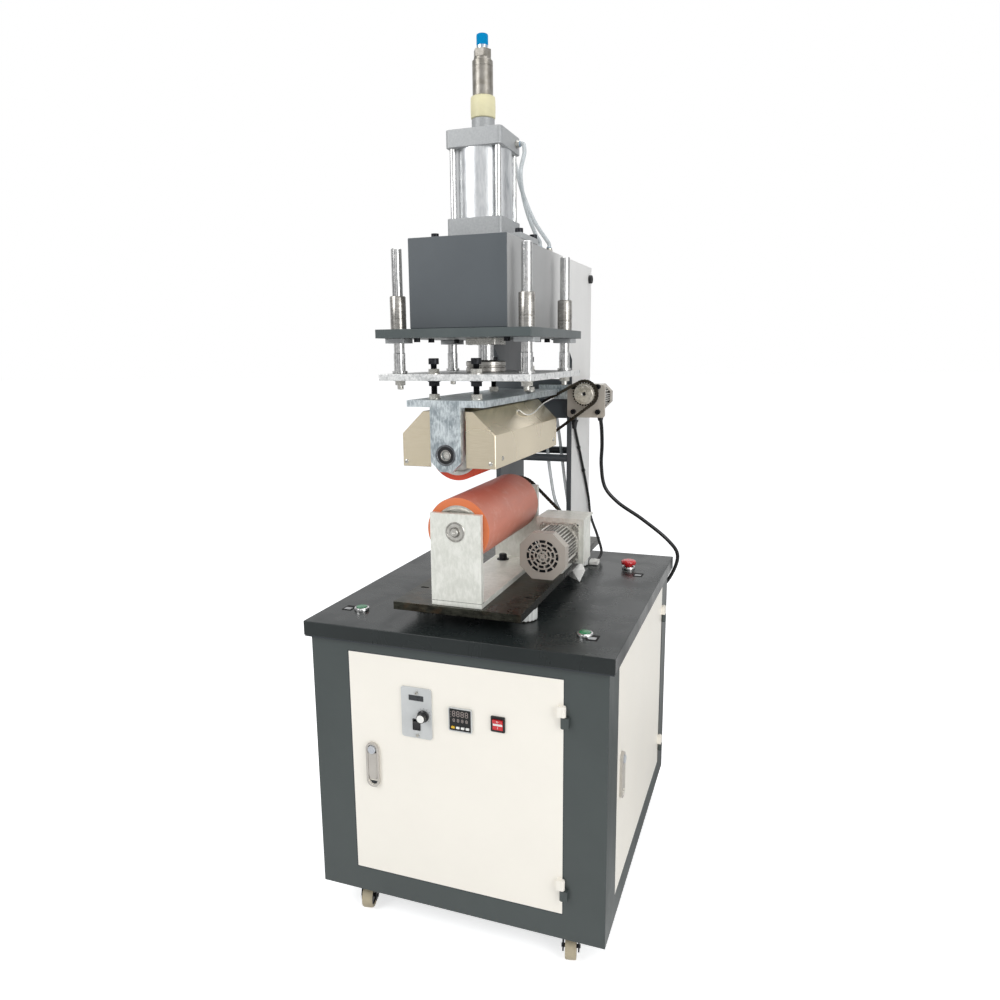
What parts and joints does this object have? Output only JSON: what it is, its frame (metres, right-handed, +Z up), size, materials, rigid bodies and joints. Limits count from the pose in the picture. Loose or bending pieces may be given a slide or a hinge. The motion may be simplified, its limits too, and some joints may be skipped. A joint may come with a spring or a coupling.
{
  "type": "roller heat transfer machine",
  "caption": "Roller heat transfer press on a caster cabinet: a cylinder moves a guided carriage with a heated roller over a driven lower roller; chains, gear motors, doors and controls.",
  "frame": {"origin": "on the floor, in the middle of the outline without the cords", "axes": "+Z up, +X to the right of someone who faces the front door, +Y from the front door to the back"},
  "size_m": [0.6491, 0.7759, 1.7658],
  "materials": {
    "dark_paint": "satin dark grey powder coat",
    "light_paint": "satin light grey paint",
    "cream_paint": "satin cream powder coat",
    "table_steel": "worn anthracite paint",
    "oiled_steel": "ground, oily, lightly stained",
    "zinc_steel": "galvanised, mottled",
    "polished_steel": "polished",
    "stainless": "brushed stainless sheet",
    "alloy": "satin anodised",
    "motor_alloy": "cast and painted warm grey",
    "chain_steel": "dark, oily",
    "black_steel": "black oxide",
    "orange_rubber": "smooth silicone",
    "cream_rubber": "matte",
    "tread": "matte",
    "black_plastic": "matte",
    "grey_plastic": "satin",
    "white_plastic": "gloss",
    "yellow_plastic": "gloss",
    "red_plastic": "gloss",
    "green_plastic": "gloss",
    "cable_black": "matte",
    "clear_tube": "clear"
  },
  "bodies": {
    "machine": {"cabinet_shell": "dark_paint", "door_frame": "dark_paint", "table_top": "table_steel", "start_button_left_base": "polished_steel", "start_button_right_base": "polished_steel", "stop_button_base": "black_plastic", "base_plate": "oiled_steel", "column_left": "light_paint", "column_right": "light_paint", "head_cover": "dark_paint", "mounting_plate": "oiled_steel", "cylinder_barrel": "alloy", "cylinder_head": "alloy", "lower_roller_bracket": "zinc_steel", "lower_gear_motor": "motor_alloy", "lower_chain": "chain_steel", "upper_motor_cable": "cable_black", "post_cable": "cable_black", "air_tubes": "clear_tube", "hanging_tubes": "clear_tube"},
    "front_door": {"front_door": "cream_paint", "temperature_controller": "black_plastic", "speed_controller": "grey_plastic", "power_switch": "black_plastic"},
    "side_door": {"side_door": "cream_paint"},
    "front_latch_lever": {"front_latch_lever": "grey_plastic"},
    "front_latch_button": {"front_latch_button": "grey_plastic"},
    "side_latch_lever": {"side_latch_lever": "grey_plastic"},
    "side_latch_button": {"side_latch_button": "grey_plastic"},
    "speed_knob": {"speed_knob": "black_plastic"},
    "speed_rocker": {"speed_rocker": "black_plastic"},
    "power_rocker": {"power_rocker": "red_plastic"},
    "start_button_left": {"start_button_left": "green_plastic"},
    "start_button_right": {"start_button_right": "green_plastic"},
    "stop_button": {"stop_button": "red_plastic"},
    "carriage": {"drive_plate": "oiled_steel", "piston_rod": "polished_steel", "stop_bumper": "cream_rubber", "carrier_plate": "zinc_steel", "hood": "stainless", "upper_gear_motor": "motor_alloy", "upper_chain": "chain_steel"},
    "upper_roller": {"upper_roller_sleeve": "orange_rubber", "upper_roller_shaft": "oiled_steel"},
    "upper_motor_sprocket": {"upper_motor_sprocket": "chain_steel"},
    "lower_roller": {"lower_roller_sleeve": "orange_rubber", "lower_roller_shaft": "oiled_steel"},
    "lower_motor_sprocket": {"lower_motor_sprocket": "chain_steel"},
    "temperature_key_1": {"temperature_key_1": "yellow_plastic"},
    "temperature_key_2": {"temperature_key_2": "white_plastic"},
    "temperature_key_3": {"temperature_key_3": "white_plastic"},
    "temperature_key_4": {"temperature_key_4": "white_plastic"},
    "caster_fork_front_left": {"caster_fork_front_left": "black_steel"},
    "caster_wheel_front_left": {"caster_wheel_front_left": "tread"},
    "caster_fork_front_right": {"caster_fork_front_right": "black_steel"},
    "caster_wheel_front_right": {"caster_wheel_front_right": "tread"},
    "caster_fork_rear_left": {"caster_fork_rear_left": "black_steel"},
    "caster_wheel_rear_left": {"caster_wheel_rear_left": "tread"},
    "caster_fork_rear_right": {"caster_fork_rear_right": "black_steel"},
    "caster_wheel_rear_right": {"caster_wheel_rear_right": "tread"}
  },
  "joints": [
    {"name": "front_door_hinge", "type": "hinge", "parent": "machine", "child": "front_door", "pos_m": [0.223, -0.3642, 0.3605], "axis": [0, 0, 1], "range_deg": [0, 110]},
    {"name": "side_door_hinge", "type": "hinge", "parent": "machine", "child": "side_door", "pos_m": [0.3112, 0.2725, 0.3605], "axis": [0, 0, 1], "range_deg": [0, 110]},
    {"name": "front_latch_lever_hinge", "type": "hinge", "parent": "front_door", "child": "front_latch_lever", "pos_m": [-0.175, -0.362, 0.3315], "axis": [1, 0, 0], "range_deg": [0, 50]},
    {"name": "side_latch_lever_hinge", "type": "hinge", "parent": "side_door", "child": "side_latch_lever", "pos_m": [0.309, -0.2355, 0.3315], "axis": [0, 1, 0], "range_deg": [0, 50]},
    {"name": "front_latch_button_slide", "type": "slide", "parent": "front_door", "child": "front_latch_button", "axis": [0, 1, 0], "range_m": [0, 0.003], "stiffness_N_per_m": 300, "springref_m": -0.002},
    {"name": "side_latch_button_slide", "type": "slide", "parent": "side_door", "child": "side_latch_button", "axis": [-1, 0, 0], "range_m": [0, 0.003], "stiffness_N_per_m": 300, "springref_m": -0.002},
    {"name": "speed_knob_turn", "type": "hinge", "parent": "front_door", "child": "speed_knob", "pos_m": [-0.058, -0.3623, 0.487], "axis": [0, 1, 0], "range_deg": [0, 270]},
    {"name": "speed_rocker_tilt", "type": "hinge", "parent": "front_door", "child": "speed_rocker", "pos_m": [-0.074, -0.361, 0.466], "axis": [1, 0, 0], "range_deg": [-16, 0]},
    {"name": "power_rocker_tilt", "type": "hinge", "parent": "front_door", "child": "power_rocker", "pos_m": [0.095, -0.3605, 0.493], "axis": [1, 0, 0], "range_deg": [-16, 0]},
    {"name": "temperature_key_1_press", "type": "slide", "parent": "front_door", "child": "temperature_key_1", "axis": [0, 1, 0], "range_m": [0, 0.001], "stiffness_N_per_m": 300, "springref_m": -0.001},
    {"name": "temperature_key_2_press", "type": "slide", "parent": "front_door", "child": "temperature_key_2", "axis": [0, 1, 0], "range_m": [0, 0.001], "stiffness_N_per_m": 300, "springref_m": -0.001},
    {"name": "temperature_key_3_press", "type": "slide", "parent": "front_door", "child": "temperature_key_3", "axis": [0, 1, 0], "range_m": [0, 0.001], "stiffness_N_per_m": 300, "springref_m": -0.001},
    {"name": "temperature_key_4_press", "type": "slide", "parent": "front_door", "child": "temperature_key_4", "axis": [0, 1, 0], "range_m": [0, 0.001], "stiffness_N_per_m": 300, "springref_m": -0.001},
    {"name": "start_button_left_press", "type": "slide", "parent": "machine", "child": "start_button_left", "axis": [0, 0, -1], "range_m": [0, 0.003], "stiffness_N_per_m": 400, "springref_m": -0.002},
    {"name": "start_button_right_press", "type": "slide", "parent": "machine", "child": "start_button_right", "axis": [0, 0, -1], "range_m": [0, 0.003], "stiffness_N_per_m": 400, "springref_m": -0.002},
    {"name": "stop_button_press", "type": "slide", "parent": "machine", "child": "stop_button", "axis": [0, 0, -1], "range_m": [0, 0.004], "stiffness_N_per_m": 400, "springref_m": -0.002},
    {"name": "press_slide", "type": "slide", "parent": "machine", "child": "carriage", "axis": [0, 0, 1], "range_m": [0, 0.03]},
    {"name": "upper_roller_turn", "type": "hinge", "parent": "carriage", "child": "upper_roller", "pos_m": [-0.005, -0.15, 0.9976], "axis": [0, 1, 0], "continuous": true},
    {"name": "upper_motor_turn", "type": "hinge", "parent": "carriage", "child": "upper_motor_sprocket", "pos_m": [0.1347, 0.127, 1.0861], "axis": [0, 1, 0], "continuous": true},
    {"name": "lower_roller_turn", "type": "hinge", "parent": "machine", "child": "lower_roller", "pos_m": [-0.005, -0.15, 0.8466], "axis": [0, 1, 0], "continuous": true},
    {"name": "lower_motor_turn", "type": "hinge", "parent": "machine", "child": "lower_motor_sprocket", "pos_m": [0.122, 0.072, 0.7516], "axis": [0, 1, 0], "continuous": true},
    {"name": "caster_swivel_front_left", "type": "hinge", "parent": "machine", "child": "caster_fork_front_left", "pos_m": [-0.225, -0.296, 0.05], "axis": [0, 0, 1], "continuous": true},
    {"name": "caster_roll_front_left", "type": "hinge", "parent": "caster_fork_front_left", "child": "caster_wheel_front_left", "pos_m": [-0.2198, -0.32045, 0.025], "axis": [0.9781, 0.2079, 0], "continuous": true},
    {"name": "caster_swivel_front_right", "type": "hinge", "parent": "machine", "child": "caster_fork_front_right", "pos_m": [0.225, -0.296, 0.05], "axis": [0, 0, 1], "continuous": true},
    {"name": "caster_roll_front_right", "type": "hinge", "parent": "caster_fork_front_right", "child": "caster_wheel_front_right", "pos_m": [0.2302, -0.32045, 0.025], "axis": [0.9781, 0.2079, 0], "continuous": true},
    {"name": "caster_swivel_rear_left", "type": "hinge", "parent": "machine", "child": "caster_fork_rear_left", "pos_m": [-0.225, 0.296, 0.05], "axis": [0, 0, 1], "continuous": true},
    {"name": "caster_roll_rear_left", "type": "hinge", "parent": "caster_fork_rear_left", "child": "caster_wheel_rear_left", "pos_m": [-0.2198, 0.27155, 0.025], "axis": [0.9781, 0.2079, 0], "continuous": true},
    {"name": "caster_swivel_rear_right", "type": "hinge", "parent": "machine", "child": "caster_fork_rear_right", "pos_m": [0.225, 0.296, 0.05], "axis": [0, 0, 1], "continuous": true},
    {"name": "caster_roll_rear_right", "type": "hinge", "parent": "caster_fork_rear_right", "child": "caster_wheel_rear_right", "pos_m": [0.2302, 0.27155, 0.025], "axis": [0.9781, 0.2079, 0], "continuous": true}
  ],
  "couplings": [
    {"joint": "upper_motor_turn", "follows": "upper_roller_turn", "ratio": 1.4615},
    {"joint": "lower_motor_turn", "follows": "lower_roller_turn", "ratio": 1.6923}
  ]
}
